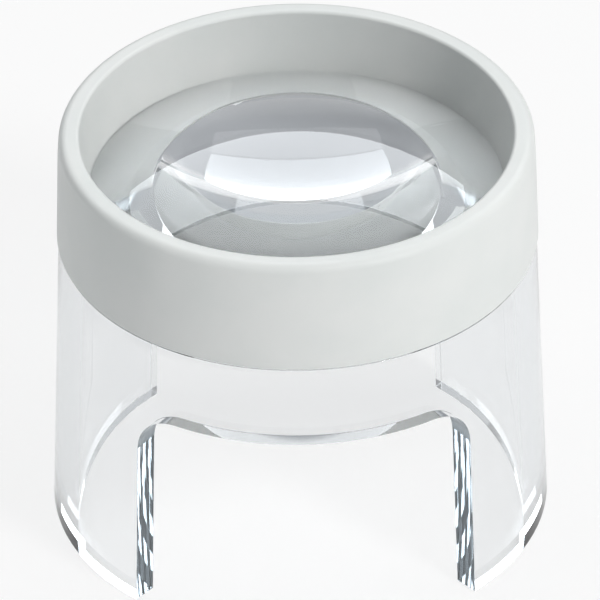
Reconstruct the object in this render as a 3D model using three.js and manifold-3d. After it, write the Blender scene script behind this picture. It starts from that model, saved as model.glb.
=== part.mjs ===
// Stand magnifier: a thick convex lens in a moulded ring on a clear, open stand.
// Millimetres, +Z up. The origin is the middle of the circle that the feet stand on.
// The two arched openings face -Y and +Y, and the two legs stand at -X and +X.

import * as THREE from 'three';
import { mergeVertices } from 'three/addons/utils/BufferGeometryUtils.js';
import Module from 'manifold-3d';

const wasm = await Module();
wasm.setup();

// Lens
const lensRadius = 25.0;
const lensRimThickness = 4.5;
const lensRimChamfer = 0.3;
const upperCurveRadius = 45.0;
const lowerCurveRadius = 40.0;

// Ring, built outwards from the lens
const ringHeight = 14.4;
const wellFlare = 0.85;
const rimWidth = 2.55;
const ringFlare = 0.56;
const ringBottomRounding = 0.35;
const rimOuterRounding = 1.1;
const rimInnerRounding = 0.4;
const ledgeThickness = 0.9;
const ledgeWidth = 9.3;

// Stand, built outwards and downwards from the ring
const standHeight = 38.3;
const standWall = 3.0;
const shoulderStep = 0.21;
const skirtFlare = 1.73;
const neckStep = 1.95;
const neckHeight = 1.3;
const neckChamfer = 0.3;

// Arched openings of the stand
const archHeight = 27.8;
const archHalfAngle = THREE.MathUtils.degToRad(42.2);
const archCornerRadius = 5.5;

// Clearances
const seamGap = 0.1;
const neckClearance = 0.1;
const lensClearance = 0.1;
const cutOverrun = 6.0;

// Fineness of the faceting
const turnSegments = 96;
const curveSegments = 14;
const roundingSegments = 4;

// Radii that follow, from the lens outwards
const wellBottomRadius = lensRadius + lensClearance;
const wellTopRadius = wellBottomRadius + wellFlare;
const ringTopRadius = wellTopRadius + rimWidth;
const ringBottomRadius = ringTopRadius + ringFlare;
const shoulderRadius = ringBottomRadius - shoulderStep;
const footRadius = shoulderRadius + skirtFlare;
const neckRadius = shoulderRadius - neckStep;
const ledgeRadius = wellBottomRadius - ledgeWidth;
const lowerDomeRadius = ledgeRadius - lensClearance;

// Heights that follow
const ringBottomZ = standHeight + seamGap;
const rimZ = ringBottomZ + ringHeight;
const neckTopZ = standHeight + neckHeight;
const lensSeatZ = neckTopZ + ledgeThickness;
const lensRimZ = lensSeatZ + lensRimThickness;

// Points of a quarter circle about (r, z), turning from one angle to another.
function roundedCorner(r, z, radius, fromAngle, toAngle) {
  const points = [];
  for (let i = 0; i <= roundingSegments; i += 1) {
    const angle = THREE.MathUtils.lerp(fromAngle, toAngle, i / roundingSegments);
    points.push(new THREE.Vector2(r + radius * Math.cos(angle), z + radius * Math.sin(angle)));
  }
  return points;
}

// A solid of revolution about Z, from the closed outline of its section.
// The outline runs anticlockwise in (r, z), so its faces point outwards.
function turned(outline) {
  const closed = outline[0].x === 0 ? outline : [...outline, outline[0]];
  const geometry = new THREE.LatheGeometry(closed, turnSegments);
  geometry.rotateX(Math.PI / 2);
  return geometry;
}

function toSolid(geometry) {
  const bare = geometry.clone();
  bare.deleteAttribute('normal');
  bare.deleteAttribute('uv');
  const merged = mergeVertices(bare);
  return new wasm.Manifold(new wasm.Mesh({
    numProp: 3,
    vertProperties: new Float32Array(merged.attributes.position.array),
    triVerts: new Uint32Array(merged.index.array),
  }));
}

function toGeometry(solid) {
  const mesh = solid.getMesh();
  const geometry = new THREE.BufferGeometry();
  geometry.setAttribute('position', new THREE.BufferAttribute(mesh.vertProperties, mesh.numProp));
  geometry.setIndex(new THREE.BufferAttribute(mesh.triVerts, 1));
  geometry.computeVertexNormals();
  return geometry;
}

// Radius of the stand's outside at a height: the skirt flares evenly down to the foot.
function skirtRadius(z) {
  return THREE.MathUtils.lerp(footRadius, shoulderRadius, z / standHeight);
}

// The skirt, its shoulder under the ring, and the neck that plugs into the ring.
function standBlank() {
  const neckInnerRadius = skirtRadius(neckTopZ) - standWall;
  return turned([
    new THREE.Vector2(footRadius - standWall, 0),
    new THREE.Vector2(footRadius, 0),
    new THREE.Vector2(shoulderRadius, standHeight),
    new THREE.Vector2(neckRadius, standHeight),
    new THREE.Vector2(neckRadius, neckTopZ - neckChamfer),
    new THREE.Vector2(neckRadius - neckChamfer, neckTopZ),
    new THREE.Vector2(neckInnerRadius, neckTopZ),
  ]);
}

// Outline of an arched opening, drawn on the wall and seen square on:
// x is the distance from the middle plane where the wall's radius is wallRadius.
function archOutline(wallRadius) {
  const shape = new THREE.Shape();
  const toX = (angle) => wallRadius * Math.tan(angle);
  const corner = (turn) => ({
    angle: archHalfAngle - archCornerRadius * (1 - Math.cos(turn)) / wallRadius,
    z: archHeight - archCornerRadius * (1 - Math.sin(turn)),
  });
  const side = [];
  for (let i = 0; i <= 2 * roundingSegments; i += 1) {
    side.push(corner((Math.PI / 2) * i / (2 * roundingSegments)));
  }
  shape.moveTo(-toX(archHalfAngle), -cutOverrun);
  shape.lineTo(toX(archHalfAngle), -cutOverrun);
  for (const point of side) {
    shape.lineTo(toX(point.angle), point.z);
  }
  for (const point of side.reverse()) {
    shape.lineTo(-toX(point.angle), point.z);
  }
  return shape;
}

// A wedge that widens away from the axis, so both jambs of the opening lie on planes through Z.
function archCutter(facing) {
  const wallRadius = shoulderRadius;
  const nearY = wallRadius / 2;
  const farY = footRadius + cutOverrun;
  const geometry = new THREE.ExtrudeGeometry(archOutline(wallRadius), {
    depth: farY - nearY,
    bevelEnabled: false,
  });
  geometry.translate(0, 0, nearY);
  geometry.rotateX(Math.PI / 2);
  const position = geometry.attributes.position;
  for (let i = 0; i < position.count; i += 1) {
    position.setX(i, position.getX(i) * Math.abs(position.getY(i)) / wallRadius);
  }
  geometry.rotateZ(facing);
  return toSolid(geometry);
}

function makeStand() {
  let solid = toSolid(standBlank());
  for (const facing of [0, Math.PI]) {
    solid = solid.subtract(archCutter(facing));
  }
  return toGeometry(solid);
}

// The ring: a well above the lens, a wide ledge that carries it and frames its lower dome,
// and a socket for the stand's neck.
function makeRing() {
  const socketRadius = neckRadius + neckClearance;
  return turned([
    new THREE.Vector2(socketRadius, ringBottomZ),
    ...roundedCorner(
      ringBottomRadius - ringBottomRounding, ringBottomZ + ringBottomRounding, ringBottomRounding,
      -Math.PI / 2, 0,
    ),
    ...roundedCorner(
      ringTopRadius - rimOuterRounding, rimZ - rimOuterRounding, rimOuterRounding,
      0, Math.PI / 2,
    ),
    ...roundedCorner(
      wellTopRadius + rimInnerRounding, rimZ - rimInnerRounding, rimInnerRounding,
      Math.PI / 2, Math.PI,
    ),
    new THREE.Vector2(wellBottomRadius, lensRimZ),
    new THREE.Vector2(wellBottomRadius, lensSeatZ),
    new THREE.Vector2(ledgeRadius, lensSeatZ),
    new THREE.Vector2(ledgeRadius, neckTopZ),
    new THREE.Vector2(socketRadius, neckTopZ),
  ]);
}

// Height of a spherical cap of the given curve above the plane of its rim, at radius r.
function capHeight(curveRadius, rimRadius, r) {
  return Math.sqrt(curveRadius ** 2 - r ** 2) - Math.sqrt(curveRadius ** 2 - rimRadius ** 2);
}

// The lens: convex over its whole width above. Below, a flat margin rests on the ring's ledge,
// and a smaller dome hangs through the ledge's opening.
function makeLens() {
  const upperZoneRadius = lensRadius - lensRimChamfer;
  const lower = [];
  const upper = [];
  for (let i = 0; i <= curveSegments; i += 1) {
    const lowerR = lowerDomeRadius * i / curveSegments;
    const upperR = upperZoneRadius * (1 - i / curveSegments);
    lower.push(new THREE.Vector2(lowerR, lensSeatZ - capHeight(lowerCurveRadius, lowerDomeRadius, lowerR)));
    upper.push(new THREE.Vector2(upperR, lensRimZ + capHeight(upperCurveRadius, upperZoneRadius, upperR)));
  }
  return turned([
    ...lower,
    new THREE.Vector2(lensRadius, lensSeatZ),
    new THREE.Vector2(lensRadius, lensRimZ - lensRimChamfer),
    ...upper,
  ]);
}

function part(name, geometry, material) {
  const mesh = new THREE.Mesh(geometry, new THREE.MeshStandardMaterial(material));
  mesh.name = name;
  return mesh;
}

const magnifier = new THREE.Group();
magnifier.add(
  part('clear_stand', makeStand(), {
    color: 0xe8eef0, roughness: 0.05, metalness: 0, transparent: true, opacity: 0.35,
  }),
  part('lens_ring', makeRing(), { color: 0xd9ddd6, roughness: 0.4, metalness: 0 }),
  part('magnifying_lens', makeLens(), {
    color: 0xf2f6f7, roughness: 0.02, metalness: 0, transparent: true, opacity: 0.35,
  }),
);

export default magnifier;
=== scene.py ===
"""The looks of a stand magnifier: off-white ring, thick convex lens and clear stand with two openings."""
import math

import bmesh
import bpy
from mathutils import Matrix, Vector


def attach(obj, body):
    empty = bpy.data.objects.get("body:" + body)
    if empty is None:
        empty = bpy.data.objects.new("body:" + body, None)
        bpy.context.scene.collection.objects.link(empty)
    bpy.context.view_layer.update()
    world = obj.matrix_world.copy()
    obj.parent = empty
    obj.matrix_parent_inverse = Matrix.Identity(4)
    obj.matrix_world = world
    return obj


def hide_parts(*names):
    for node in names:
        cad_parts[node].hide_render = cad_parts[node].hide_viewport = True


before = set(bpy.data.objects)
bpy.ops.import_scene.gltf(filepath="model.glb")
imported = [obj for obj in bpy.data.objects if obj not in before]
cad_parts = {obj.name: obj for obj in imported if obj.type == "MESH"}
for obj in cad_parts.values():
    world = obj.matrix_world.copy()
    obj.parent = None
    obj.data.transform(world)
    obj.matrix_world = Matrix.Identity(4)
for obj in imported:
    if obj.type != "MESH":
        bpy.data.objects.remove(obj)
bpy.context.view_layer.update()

scene = bpy.context.scene
MM = 0.001

# Lens, in millimetres
LENS_RADIUS = 25.0
LENS_RIM_CHAMFER = 0.3
LENS_SEAT_Z = 40.5
LENS_AIR_FILM = 0.03
LENS_RIM_Z = 45.0
UPPER_CURVE_RADIUS = 45.0
LOWER_CURVE_RADIUS = 40.0
LOWER_DOME_RADIUS = 15.7

# Ring
RING_BOTTOM_Z = 38.4
RIM_Z = 52.8
RING_TOP_RADIUS = 28.5
RING_BOTTOM_RADIUS = 29.06
WELL_TOP_RADIUS = 25.95
WELL_BOTTOM_RADIUS = 25.1
LEDGE_RADIUS = 15.8
LEDGE_UNDERSIDE_Z = 39.6
SOCKET_RADIUS = 27.0
SOCKET_CHAMFER = 0.25
RIM_OUTER_ROUNDING = 1.1
RIM_INNER_ROUNDING = 0.45
RING_FOOT_ROUNDING = 0.35
STRAIGHT_BY_FOOT = 0.1
STRAIGHT_BY_RIM = 0.08

# Stand
STAND_HEIGHT = 38.3
FOOT_RADIUS = 30.58
SHOULDER_RADIUS = 28.85
STAND_WALL = 3.0
NECK_RADIUS = 26.9
NECK_TOP_Z = 39.6
NECK_CHAMFER = 0.3
ARCH_HEIGHT = 27.8
ARCH_HALF_ANGLE = math.radians(42.2)
ARCH_CORNER_RADIUS = 5.5
MOULDED_EDGE = 0.25
MOULDED_EDGE_STEPS = 3
MOULDED_EDGE_FROM_DEGREES = 40

# Fineness of the shapes
TURN_STEPS = 360
MERGE_DISTANCE = 1e-6
DOUBLES_DISTANCE = 1e-7
LENS_CURVE_STEPS = 72
RING_FOOT_STEPS = 8
RIM_OUTER_STEPS = 14
RIM_INNER_STEPS = 10
RING_OUTSIDE_BANDS = 8
RING_WELL_BANDS = 6
CROWN_COLUMNS = 40
CORNER_COLUMNS = 20
LEG_COLUMNS = 48
UPPER_ROWS = 14
LEG_ROWS = 12
RING_SHARP_DEGREES = 40
LENS_SHARP_DEGREES = 25

# Finishes
RING_TONE_DARK = (0.735, 0.755, 0.735, 1)
RING_TONE_PALE = (0.775, 0.785, 0.765, 1)
RING_ROUGHNESS = (0.42, 0.52)
RING_IOR = 1.5
RING_SPECULAR_LEVEL = 0.3
ACRYLIC_IOR = 1.49
ACRYLIC_DEPTH_COLOUR = (0.35, 0.43, 0.48, 1)
LENS_DENSITY = 8.0
STAND_DENSITY = 32.0
STAND_WAVINESS = 0.03
SMEAR_ROUGHNESS = 0.05

# Floor and room
FLOOR_COLOUR = (0.91, 0.907, 0.904)
FLOOR_HALF_WIDTH = 3
FLOOR_DROP = 0.0001
FLOOR_WHITE_SEEN = 0.8
FLOOR_WHITE_THROUGH_GLASS = 0.72
# The card below is painted shadow: a darker patch on the floor behind the object, seen only through clear
# pieces.
PAINTED_SHADOW_CENTRE = (0.0, 0.066)
PAINTED_SHADOW_HALF_SIZE = (0.042, 0.042)
PAINTED_SHADOW_TONE = (0.38, 0.39, 0.41)
PAINTED_SHADOW_FADE = 0.45
ROOM_LOW = (0.29, 0.31, 0.33, 1)
ROOM_HIGH = (0.31, 0.32, 0.33, 1)
LAMP_DISTANCE = 1.2
COOL_WHITE = (0.93, 0.97, 1)
LIGHT_BOUNCES = 24
GLOSSY_BOUNCES = 12

# Camera, fitted to the photograph's ellipses
LOOK_AT = Vector((0.0, 0.0, 0.025))
CAMERA_DISTANCE = 0.8
CAMERA_AZIMUTH = math.radians(-1.2)
CAMERA_ELEVATION = math.radians(35.77)
CAMERA_ROLL = math.radians(-0.68)
FOCAL_LENGTH = 393.68
SENSOR_WIDTH = 36.0
CAMERA_SHIFT = (0.00227, 0.03175)


def place_camera():
    data = bpy.data.cameras.new("photo_camera")
    data.lens = FOCAL_LENGTH
    data.sensor_width = SENSOR_WIDTH
    data.shift_x, data.shift_y = CAMERA_SHIFT
    data.clip_start, data.clip_end = 0.01, 20.0
    camera = bpy.data.objects.new("photo_camera", data)
    scene.collection.objects.link(camera)
    level = Vector((math.sin(CAMERA_AZIMUTH), -math.cos(CAMERA_AZIMUTH), 0.0))
    back = level * math.cos(CAMERA_ELEVATION) + Vector((0.0, 0.0, math.sin(CAMERA_ELEVATION)))
    right = Vector((0.0, 0.0, 1.0)).cross(back).normalized()
    up = back.cross(right)
    rolled_right = right * math.cos(CAMERA_ROLL) + up * math.sin(CAMERA_ROLL)
    rolled_up = up * math.cos(CAMERA_ROLL) - right * math.sin(CAMERA_ROLL)
    turn = Matrix((rolled_right, rolled_up, back)).transposed().to_4x4()
    camera.matrix_world = Matrix.Translation(LOOK_AT + back * CAMERA_DISTANCE) @ turn
    scene.camera = camera


# Shapes


def arc(centre, radius, from_degrees, to_degrees, steps):
    """Points (r, z) along a circle in the plane of a section."""
    points = []
    for i in range(steps + 1):
        angle = math.radians(from_degrees + (to_degrees - from_degrees) * i / steps)
        points.append((centre[0] + radius * math.cos(angle), centre[1] + radius * math.sin(angle)))
    return points


def turning_tree():
    """Turns a section about the axis: each point of the section becomes one ring of the surface."""
    tree = bpy.data.node_groups.new("Turned about the axis", "GeometryNodeTree")
    tree.is_modifier = True
    face = tree.interface
    face.new_socket("Section", in_out="INPUT", socket_type="NodeSocketGeometry")
    face.new_socket("Steps round", in_out="INPUT", socket_type="NodeSocketInt")
    face.new_socket("Merge distance", in_out="INPUT", socket_type="NodeSocketFloat")
    face.new_socket("Finish", in_out="INPUT", socket_type="NodeSocketMaterial")
    face.new_socket("Turned solid", in_out="OUTPUT", socket_type="NodeSocketGeometry")
    nodes, links = tree.nodes, tree.links

    def node(kind, **settings):
        made = nodes.new(kind)
        for name, value in settings.items():
            setattr(made, name, value)
        return made

    def whole(operation, a, b):
        made = node("FunctionNodeIntegerMath", operation=operation)
        for socket, value in zip(made.inputs, (a, b)):
            if isinstance(value, int):
                socket.default_value = value
            else:
                links.new(value, socket)
        return made.outputs[0]

    def real(operation, *values):
        made = node("ShaderNodeMath", operation=operation)
        for socket, value in zip(made.inputs, values):
            if isinstance(value, (int, float)):
                socket.default_value = value
            else:
                links.new(value, socket)
        return made.outputs[0]

    given = node("NodeGroupInput")
    size = node("GeometryNodeAttributeDomainSize", component="MESH")
    links.new(given.outputs["Section"], size.inputs["Geometry"])
    stations = whole("ADD", given.outputs["Steps round"], 1)

    grid = node("GeometryNodeMeshGrid")
    links.new(size.outputs["Point Count"], grid.inputs["Vertices X"])
    links.new(stations, grid.inputs["Vertices Y"])

    index = node("GeometryNodeInputIndex").outputs[0]
    point_of_section = whole("DIVIDE_FLOOR", index, stations)
    station = whole("MODULO", index, stations)

    sample = node("GeometryNodeSampleIndex", data_type="FLOAT_VECTOR", domain="POINT")
    links.new(given.outputs["Section"], sample.inputs["Geometry"])
    links.new(node("GeometryNodeInputPosition").outputs[0], sample.inputs["Value"])
    links.new(point_of_section, sample.inputs["Index"])
    split = node("ShaderNodeSeparateXYZ")
    links.new(sample.outputs["Value"], split.inputs[0])

    share = real("DIVIDE", station, given.outputs["Steps round"])
    angle = real("MULTIPLY", share, 2 * math.pi)
    joined = node("ShaderNodeCombineXYZ")
    links.new(real("MULTIPLY", split.outputs["X"], real("COSINE", angle)), joined.inputs["X"])
    links.new(real("MULTIPLY", split.outputs["X"], real("SINE", angle)), joined.inputs["Y"])
    links.new(split.outputs["Z"], joined.inputs["Z"])

    place = node("GeometryNodeSetPosition")
    links.new(grid.outputs["Mesh"], place.inputs["Geometry"])
    links.new(joined.outputs[0], place.inputs["Position"])
    close = node("GeometryNodeMergeByDistance")
    links.new(place.outputs[0], close.inputs["Geometry"])
    links.new(given.outputs["Merge distance"], close.inputs["Distance"])
    realize = node("GeometryNodeRealizeInstances")
    links.new(close.outputs[0], realize.inputs[0])
    finish = node("GeometryNodeSetMaterial")
    links.new(realize.outputs[0], finish.inputs["Geometry"])
    links.new(given.outputs["Finish"], finish.inputs["Material"])
    result = node("NodeGroupOutput")
    links.new(finish.outputs[0], result.inputs["Turned solid"])
    return tree


def face_outwards(mesh):
    work = bmesh.new()
    work.from_mesh(mesh)
    bmesh.ops.remove_doubles(work, verts=work.verts, dist=DOUBLES_DISTANCE)
    bmesh.ops.recalc_face_normals(work, faces=work.faces)
    work.to_mesh(mesh)
    work.free()


def shown(name, mesh, node):
    """A finished piece that stands for a node of the frame."""
    piece = bpy.data.objects.new(name, mesh)
    scene.collection.objects.link(piece)
    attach(piece, "root")
    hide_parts(node)
    return piece


def turned_piece(name, section, finish, sharp_degrees, node):
    """section: points (r, z) in millimetres, from first to last round the outline."""
    outline = bpy.data.meshes.new(name + "_section")
    outline.from_pydata([(r * MM, 0.0, z * MM) for r, z in section], [], [])
    blank = bpy.data.objects.new(name + "_blank", outline)
    scene.collection.objects.link(blank)
    modifier = blank.modifiers.new("turned", "NODES")
    tree = turning_tree()
    modifier.node_group = tree
    sockets = [item for item in tree.interface.items_tree if item.in_out == "INPUT"]
    inputs = {item.name: item.identifier for item in sockets}
    modifier[inputs["Steps round"]] = TURN_STEPS
    modifier[inputs["Merge distance"]] = MERGE_DISTANCE
    modifier[inputs["Finish"]] = finish
    depsgraph = bpy.context.evaluated_depsgraph_get()
    mesh = bpy.data.meshes.new_from_object(blank.evaluated_get(depsgraph))
    mesh.name = name
    blank.modifiers.remove(modifier)
    bpy.data.objects.remove(blank)
    face_outwards(mesh)
    mesh.shade_smooth()
    mesh.set_sharp_from_angle(angle=math.radians(sharp_degrees))
    return shown(name, mesh, node)


def ring_section():
    """The ring's outline. A short straight step beside each rounding keeps the long faces true."""
    flare = (RING_BOTTOM_RADIUS - RING_TOP_RADIUS) / (RIM_Z - RING_BOTTOM_Z)
    lean = math.degrees(math.atan(flare))
    outer, inner, foot = RIM_OUTER_ROUNDING, RIM_INNER_ROUNDING, RING_FOOT_ROUNDING
    points = [(SOCKET_RADIUS, RING_BOTTOM_Z + SOCKET_CHAMFER)]
    points += [(SOCKET_RADIUS + SOCKET_CHAMFER, RING_BOTTOM_Z)]
    points += [(RING_BOTTOM_RADIUS - foot - STRAIGHT_BY_FOOT, RING_BOTTOM_Z)]
    foot_centre = (RING_BOTTOM_RADIUS - foot, RING_BOTTOM_Z + foot)
    points += arc(foot_centre, foot, -90, lean, RING_FOOT_STEPS)
    for i in range(1, RING_OUTSIDE_BANDS):
        z = RING_BOTTOM_Z + foot + (RIM_Z - outer - RING_BOTTOM_Z - foot) * i / RING_OUTSIDE_BANDS
        points.append((RING_BOTTOM_RADIUS - flare * (z - RING_BOTTOM_Z - foot), z))
    points += arc((RING_TOP_RADIUS - outer, RIM_Z - outer), outer, lean, 90, RIM_OUTER_STEPS)
    points += [(RING_TOP_RADIUS - outer - STRAIGHT_BY_RIM, RIM_Z)]
    points += [(WELL_TOP_RADIUS + inner + STRAIGHT_BY_RIM, RIM_Z)]
    points += arc((WELL_TOP_RADIUS + inner, RIM_Z - inner), inner, 90, 180, RIM_INNER_STEPS)
    for i in range(1, RING_WELL_BANDS):
        z = RIM_Z - inner - (RIM_Z - inner - LENS_RIM_Z) * i / RING_WELL_BANDS
        r = WELL_TOP_RADIUS - (WELL_TOP_RADIUS - WELL_BOTTOM_RADIUS) * i / RING_WELL_BANDS
        points.append((r, z))
    points += [(WELL_BOTTOM_RADIUS, LENS_RIM_Z), (WELL_BOTTOM_RADIUS, LENS_SEAT_Z)]
    points += [(LEDGE_RADIUS, LENS_SEAT_Z), (LEDGE_RADIUS, LEDGE_UNDERSIDE_Z)]
    points += [(SOCKET_RADIUS, LEDGE_UNDERSIDE_Z), (SOCKET_RADIUS, RING_BOTTOM_Z + SOCKET_CHAMFER)]
    return points


def cap_height(curve, rim, r):
    return math.sqrt(curve**2 - r**2) - math.sqrt(curve**2 - rim**2)


def lens_section():
    """The air film keeps the flat margin a hair clear of the ledge, and light passes between them."""
    steps = LENS_CURVE_STEPS
    upper_rim = LENS_RADIUS - LENS_RIM_CHAMFER
    margin_z = LENS_SEAT_Z + LENS_AIR_FILM
    points = []
    for i in range(steps + 1):
        r = LOWER_DOME_RADIUS * i / steps
        points.append((r, margin_z - cap_height(LOWER_CURVE_RADIUS, LOWER_DOME_RADIUS, r)))
    points += [(LENS_RADIUS, margin_z), (LENS_RADIUS, LENS_RIM_Z - LENS_RIM_CHAMFER)]
    for i in range(steps + 1):
        r = upper_rim * (1 - i / steps)
        points.append((r, LENS_RIM_Z + cap_height(UPPER_CURVE_RADIUS, upper_rim, r)))
    return points


def skirt_radius(z):
    return FOOT_RADIUS + (SHOULDER_RADIUS - FOOT_RADIUS) * z / STAND_HEIGHT


def stand_columns():
    """Angles round the stand, each with the height of the arch's edge or jamb top and whether it is a leg."""
    corner = ARCH_CORNER_RADIUS / SHOULDER_RADIUS
    crown = ARCH_HALF_ANGLE - corner
    half = []
    for i in range(CROWN_COLUMNS):
        half.append((crown * i / CROWN_COLUMNS, ARCH_HEIGHT, False))
    for i in range(CORNER_COLUMNS):
        turn = math.pi / 2 * i / CORNER_COLUMNS
        height = ARCH_HEIGHT - ARCH_CORNER_RADIUS * (1 - math.cos(turn))
        half.append((crown + corner * math.sin(turn), height, False))
    jamb_top = ARCH_HEIGHT - ARCH_CORNER_RADIUS
    for i in range(LEG_COLUMNS + 1):
        angle = ARCH_HALF_ANGLE + (math.pi / 2 - ARCH_HALF_ANGLE) * i / LEG_COLUMNS
        half.append((angle, jamb_top, True))
    quarter = half[:-1]
    mirrored = [(math.pi - angle, height, leg) for angle, height, leg in reversed(half[1:])]
    front = quarter + mirrored
    return front + [(angle + math.pi, height, leg) for angle, height, leg in front]


def stand_mesh():
    """The stand in columns of quads: each runs up the outside, over the neck and down the inside."""
    work = bmesh.new()
    loops = []
    for angle, start, leg in stand_columns():
        def point(r, z):
            return work.verts.new((r * math.sin(angle) * MM, -r * math.cos(angle) * MM, z * MM))

        heights = [start + (STAND_HEIGHT - start) * i / UPPER_ROWS for i in range(UPPER_ROWS + 1)]
        below = [start * i / LEG_ROWS for i in range(LEG_ROWS)] if leg else []
        outer_low = [point(skirt_radius(z), z) for z in below]
        outer = [point(skirt_radius(z), z) for z in heights]
        neck = [
            point(NECK_RADIUS, STAND_HEIGHT),
            point(NECK_RADIUS, NECK_TOP_Z - NECK_CHAMFER),
            point(NECK_RADIUS - NECK_CHAMFER, NECK_TOP_Z),
            point(skirt_radius(NECK_TOP_Z) - STAND_WALL, NECK_TOP_Z),
        ]
        inner = [point(skirt_radius(z) - STAND_WALL, z) for z in reversed(heights)]
        inner_low = [point(skirt_radius(z) - STAND_WALL, z) for z in reversed(below)]
        wall = outer + neck + inner
        loops.append({"wall": wall, "outer_low": outer_low, "inner_low": inner_low, "leg": leg})
    for here, there in zip(loops, loops[1:] + loops[:1]):
        a, b = here["wall"], there["wall"]
        for i in range(len(a) - 1):
            work.faces.new((a[i], b[i], b[i + 1], a[i + 1]))
        if here["leg"] and there["leg"]:
            inner_a = [here["wall"][-1]] + here["inner_low"]
            inner_b = [there["wall"][-1]] + there["inner_low"]
            outer_a = [here["wall"][0]] + here["outer_low"][::-1]
            outer_b = [there["wall"][0]] + there["outer_low"][::-1]
            for i in range(len(inner_a) - 1):
                work.faces.new((inner_a[i], inner_b[i], inner_b[i + 1], inner_a[i + 1]))
                work.faces.new((outer_a[i], outer_a[i + 1], outer_b[i + 1], outer_b[i]))
            work.faces.new((outer_a[-1], inner_a[-1], inner_b[-1], outer_b[-1]))
        else:
            work.faces.new((here["wall"][0], here["wall"][-1], there["wall"][-1], there["wall"][0]))
    for here, there in zip(loops, loops[1:] + loops[:1]):
        if here["leg"] == there["leg"]:
            continue
        edge = here if here["leg"] else there
        inner_side = [edge["wall"][-1]] + edge["inner_low"]
        outer_side = [edge["wall"][0]] + edge["outer_low"][::-1]
        for i in range(len(inner_side) - 1):
            work.faces.new((inner_side[i], inner_side[i + 1], outer_side[i + 1], outer_side[i]))
    bmesh.ops.recalc_face_normals(work, faces=work.faces)
    mesh = bpy.data.meshes.new("clear_stand_moulded")
    work.to_mesh(mesh)
    work.free()
    mesh.shade_smooth()
    return mesh


def make_stand(finish):
    mesh = stand_mesh()
    mesh.materials.append(finish)
    stand = shown("clear_stand_moulded", mesh, "clear_stand")
    edges = stand.modifiers.new("moulded_edges", "BEVEL")
    edges.width = MOULDED_EDGE * MM
    edges.segments = MOULDED_EDGE_STEPS
    edges.limit_method = "ANGLE"
    edges.angle_limit = math.radians(MOULDED_EDGE_FROM_DEGREES)
    edges.harden_normals = True
    return stand


# Finishes


def blank_finish(name):
    material = bpy.data.materials.new(name)
    material.use_nodes = True
    nodes = material.node_tree.nodes
    nodes.clear()
    shader = nodes.new("ShaderNodeBsdfPrincipled")
    output = nodes.new("ShaderNodeOutputMaterial")
    material.node_tree.links.new(shader.outputs[0], output.inputs["Surface"])
    return material, shader


def object_place(material):
    return material.node_tree.nodes.new("ShaderNodeTexCoord").outputs["Object"]


def noise(material, place, scale, detail, roughness=0.5):
    made = material.node_tree.nodes.new("ShaderNodeTexNoise")
    made.inputs["Scale"].default_value = scale
    made.inputs["Detail"].default_value = detail
    made.inputs["Roughness"].default_value = roughness
    material.node_tree.links.new(place, made.inputs["Vector"])
    return made.outputs["Fac"]


def mapped(material, value, from_low, from_high, to_low, to_high):
    made = material.node_tree.nodes.new("ShaderNodeMapRange")
    made.inputs["From Min"].default_value = from_low
    made.inputs["From Max"].default_value = from_high
    made.inputs["To Min"].default_value = to_low
    made.inputs["To Max"].default_value = to_high
    material.node_tree.links.new(value, made.inputs["Value"])
    return made.outputs["Result"]


def bumped(material, height, distance, strength):
    made = material.node_tree.nodes.new("ShaderNodeBump")
    made.inputs["Distance"].default_value = distance
    made.inputs["Strength"].default_value = strength
    material.node_tree.links.new(height, made.inputs["Height"])
    return made.outputs["Normal"]


def ring_plastic():
    """Off-white moulded plastic with a satin skin."""
    material, shader = blank_finish("off_white_ring_plastic")
    links = material.node_tree.links
    place = object_place(material)
    tone = material.node_tree.nodes.new("ShaderNodeMix")
    tone.data_type = "RGBA"
    tone.inputs["A"].default_value = RING_TONE_DARK
    tone.inputs["B"].default_value = RING_TONE_PALE
    clouds = noise(material, place, scale=90, detail=4)
    links.new(mapped(material, clouds, 0.35, 0.65, 0, 1), tone.inputs["Factor"])
    links.new(tone.outputs["Result"], shader.inputs["Base Color"])
    gloss = noise(material, place, scale=260, detail=3)
    links.new(mapped(material, gloss, 0.3, 0.7, *RING_ROUGHNESS), shader.inputs["Roughness"])
    grain = noise(material, place, scale=2600, detail=2)
    links.new(bumped(material, grain, distance=0.00002, strength=0.35), shader.inputs["Normal"])
    shader.inputs["IOR"].default_value = RING_IOR
    shader.inputs["Specular IOR Level"].default_value = RING_SPECULAR_LEVEL
    return material


def clear_acrylic(name, waviness, density):
    """Polished clear acrylic with a few smears and, if given, a faint wave. Its depth turns blue-grey."""
    material, shader = blank_finish(name)
    links = material.node_tree.links
    place = object_place(material)
    shader.inputs["Base Color"].default_value = (1, 1, 1, 1)
    shader.inputs["IOR"].default_value = ACRYLIC_IOR
    shader.inputs["Transmission Weight"].default_value = 1.0
    smear = noise(material, place, scale=120, detail=5, roughness=0.6)
    links.new(mapped(material, smear, 0.62, 0.8, 0, SMEAR_ROUGHNESS), shader.inputs["Roughness"])
    if waviness:
        wave = noise(material, place, scale=70, detail=1)
        links.new(bumped(material, wave, distance=0.0004, strength=waviness), shader.inputs["Normal"])
    depth = material.node_tree.nodes.new("ShaderNodeVolumeAbsorption")
    depth.inputs["Color"].default_value = ACRYLIC_DEPTH_COLOUR
    depth.inputs["Density"].default_value = density
    output = next(node for node in material.node_tree.nodes if node.type == "OUTPUT_MATERIAL")
    links.new(depth.outputs[0], output.inputs["Volume"])
    return material


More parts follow.
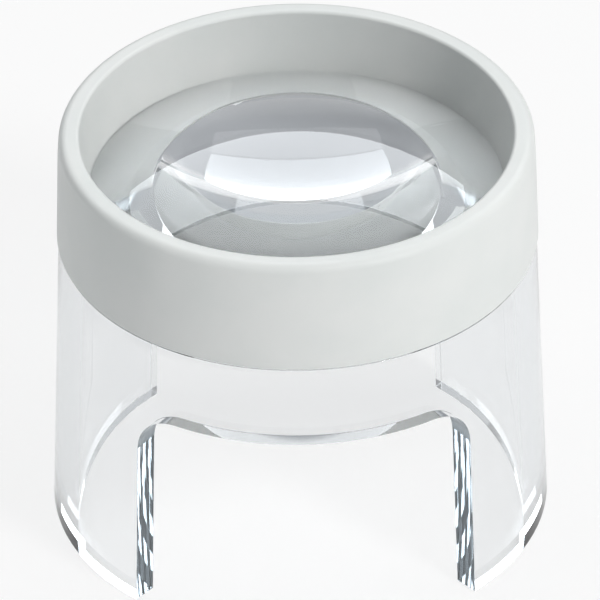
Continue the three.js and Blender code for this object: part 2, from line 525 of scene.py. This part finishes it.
def floor_finish():
    """A pale matt floor under a share of plain white, so that the object's shadow stays but is light."""
    material, shader = blank_finish("pale_floor")
    nodes, links = material.node_tree.nodes, material.node_tree.links
    shader.inputs["Base Color"].default_value = (*FLOOR_COLOUR, 1)
    shader.inputs["Roughness"].default_value = 0.9
    shader.inputs["Specular IOR Level"].default_value = 0.1
    white = nodes.new("ShaderNodeEmission")
    path = nodes.new("ShaderNodeLightPath")

    def of(ray, share):
        made = nodes.new("ShaderNodeMath")
        made.operation = "MULTIPLY"
        made.inputs[1].default_value = share
        links.new(path.outputs[ray], made.inputs[0])
        return made.outputs[0]

    through_glass = nodes.new("ShaderNodeMath")
    through_glass.operation = "MAXIMUM"
    links.new(of("Is Transmission Ray", FLOOR_WHITE_THROUGH_GLASS), through_glass.inputs[0])
    links.new(of("Is Glossy Ray", FLOOR_WHITE_THROUGH_GLASS), through_glass.inputs[1])
    share = nodes.new("ShaderNodeMath")
    share.operation = "MAXIMUM"
    links.new(of("Is Camera Ray", FLOOR_WHITE_SEEN), share.inputs[0])
    links.new(through_glass.outputs[0], share.inputs[1])
    blend = nodes.new("ShaderNodeMixShader")
    links.new(share.outputs[0], blend.inputs["Fac"])
    links.new(shader.outputs[0], blend.inputs[1])
    links.new(white.outputs[0], blend.inputs[2])
    output = next(node for node in nodes if node.type == "OUTPUT_MATERIAL")
    links.new(blend.outputs[0], output.inputs["Surface"])
    return material


def lay_floor():
    mesh = bpy.data.meshes.new("floor")
    w = FLOOR_HALF_WIDTH
    mesh.from_pydata([(-w, -w, 0), (w, -w, 0), (w, w, 0), (-w, w, 0)], [], [(0, 1, 2, 3)])
    mesh.materials.append(floor_finish())
    floor = bpy.data.objects.new("floor", mesh)
    floor.location.z = -FLOOR_DROP
    scene.collection.objects.link(floor)


def lay_painted_shadow_card():
    """Painted shadow: a grey card, faded at its edge, on the floor where the lens looks. Only reflections and
    clear pieces show it.
    """
    material, shader = blank_finish("painted_shadow_card")
    nodes, links = material.node_tree.nodes, material.node_tree.links
    half_width, half_length = PAINTED_SHADOW_HALF_SIZE
    # The card's grey tone is painted shadow.
    shader.inputs["Base Color"].default_value = (*PAINTED_SHADOW_TONE, 1)
    shader.inputs["Roughness"].default_value = 0.8
    unit = nodes.new("ShaderNodeMapping")
    unit.inputs["Scale"].default_value = (1 / half_width, 1 / half_length, 1)
    links.new(object_place(material), unit.inputs["Vector"])
    round_fade = nodes.new("ShaderNodeTexGradient")
    round_fade.gradient_type = "SPHERICAL"
    links.new(unit.outputs[0], round_fade.inputs["Vector"])
    blend = nodes.new("ShaderNodeMixShader")
    links.new(mapped(material, round_fade.outputs["Fac"], 0, PAINTED_SHADOW_FADE, 0, 1), blend.inputs["Fac"])
    links.new(nodes.new("ShaderNodeBsdfTransparent").outputs[0], blend.inputs[1])
    links.new(shader.outputs[0], blend.inputs[2])
    output = next(node for node in nodes if node.type == "OUTPUT_MATERIAL")
    links.new(blend.outputs[0], output.inputs["Surface"])
    w, h = half_width, half_length
    mesh = bpy.data.meshes.new("painted_shadow_card")
    mesh.from_pydata([(-w, -h, 0), (w, -h, 0), (w, h, 0), (-w, h, 0)], [], [(0, 1, 2, 3)])
    mesh.materials.append(material)
    card = bpy.data.objects.new("painted_shadow_card", mesh)
    card.location = (*PAINTED_SHADOW_CENTRE, 0)
    scene.collection.objects.link(card)
    card.visible_camera = card.visible_diffuse = card.visible_shadow = False


def light_room():
    """An even, dim grey room, a little bluer low down."""
    world = bpy.data.worlds.new("soft_room")
    world.use_nodes = True
    scene.world = world
    nodes, links = world.node_tree.nodes, world.node_tree.links
    nodes.clear()
    split = nodes.new("ShaderNodeSeparateXYZ")
    links.new(nodes.new("ShaderNodeTexCoord").outputs["Generated"], split.inputs[0])
    ramp = nodes.new("ShaderNodeValToRGB")
    links.new(split.outputs["Z"], ramp.inputs["Fac"])
    stops = ramp.color_ramp.elements
    stops[0].position, stops[0].color = 0.28, ROOM_LOW
    stops[1].position, stops[1].color = 0.36, ROOM_HIGH
    background = nodes.new("ShaderNodeBackground")
    links.new(ramp.outputs["Color"], background.inputs["Color"])
    background.inputs["Strength"].default_value = 1.0
    links.new(background.outputs[0], nodes.new("ShaderNodeOutputWorld").inputs[0])


def soft_lamp(name, azimuth, elevation, width, height, radiance, colour=(1, 1, 1)):
    """A soft box that faces the object."""
    data = bpy.data.lights.new(name, "AREA")
    data.shape = "RECTANGLE"
    data.size, data.size_y = width, height
    data.energy = radiance * math.pi * width * height
    data.color = colour
    lamp = bpy.data.objects.new(name, data)
    a, e = math.radians(azimuth), math.radians(elevation)
    towards = Vector((math.sin(a) * math.cos(e), -math.cos(a) * math.cos(e), math.sin(e)))
    lamp.location = LOOK_AT + towards * LAMP_DISTANCE
    lamp.rotation_mode = "QUATERNION"
    lamp.rotation_quaternion = towards.to_track_quat("Z", "Y")
    scene.collection.objects.link(lamp)
    return lamp


place_camera()
lay_floor()
light_room()
# Painted shadow on the floor behind the object, seen only through the clear pieces.
lay_painted_shadow_card()
soft_lamp("key", azimuth=44, elevation=36, width=0.22, height=0.22, radiance=48)
soft_lamp("ceiling", azimuth=180, elevation=79, width=2.6, height=0.5, radiance=1.7)
sheen = soft_lamp("sheen_box", 180, elevation=50, width=2.6, height=0.68, radiance=4.6, colour=COOL_WHITE)
sheen.visible_diffuse = False
panel = soft_lamp("back_panel", 180, elevation=22, width=1.2, height=0.42, radiance=0.3, colour=COOL_WHITE)
panel.visible_diffuse = False

plastic = ring_plastic()
lens_clear = clear_acrylic("lens_acrylic", 0.0, LENS_DENSITY)
stand_clear = clear_acrylic("stand_acrylic", STAND_WAVINESS, STAND_DENSITY)
turned_piece("lens_ring_moulded", ring_section(), plastic, RING_SHARP_DEGREES, "lens_ring")
turned_piece("magnifying_lens_ground", lens_section(), lens_clear, LENS_SHARP_DEGREES, "magnifying_lens")
make_stand(stand_clear)

scene.view_settings.view_transform = "Standard"
scene.cycles.max_bounces = LIGHT_BOUNCES
scene.cycles.transmission_bounces = LIGHT_BOUNCES
scene.cycles.glossy_bounces = GLOSSY_BOUNCES
